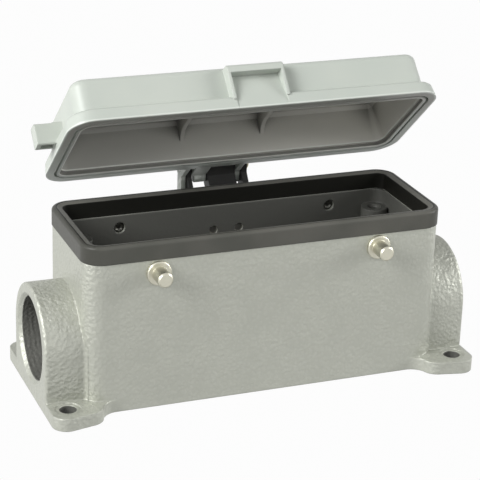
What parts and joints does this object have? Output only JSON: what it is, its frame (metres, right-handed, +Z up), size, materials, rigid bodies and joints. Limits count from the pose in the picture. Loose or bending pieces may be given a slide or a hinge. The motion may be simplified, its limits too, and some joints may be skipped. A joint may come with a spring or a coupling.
{
  "type": "heavy duty rectangular connector",
  "caption": "Surface-mount rectangular connector housing with cable entries at both ends, locking pegs, rim gasket and a hinged protective cover.",
  "frame": {"origin": "middle of the mounting face, between the four lugs", "axes": "+Z up out of the connector mouth, X along the length with the cover's side lug at -X, +Y towards the hinge"},
  "size_m": [0.1436, 0.0627, 0.1029],
  "materials": {
    "cast_body": "grey hammertone powder coat on an aluminium die casting",
    "gasket": "matt black",
    "pegs": "turned, nickel plated",
    "bracket": "black",
    "rivets": "dull",
    "pin": "yellow-tinted zinc plate",
    "cover": "smooth light grey moulding"
  },
  "bodies": {
    "base": {"housing": "cast_body", "rim_gasket": "gasket", "locking_peg_front_left": "pegs", "locking_peg_front_right": "pegs", "locking_peg_rear_left": "pegs", "locking_peg_rear_right": "pegs", "hinge_bracket": "bracket", "hinge_rivet_left": "rivets", "hinge_rivet_right": "rivets", "hinge_pin": "pin"},
    "cover": {"hinged_cover": "cover"}
  },
  "joints": [
    {"name": "cover_hinge", "type": "hinge", "parent": "base", "child": "cover", "pos_m": [0, 0.0301, 0.0592], "axis": [-1, 0, 0], "range_deg": [-42, 68]}
  ]
}
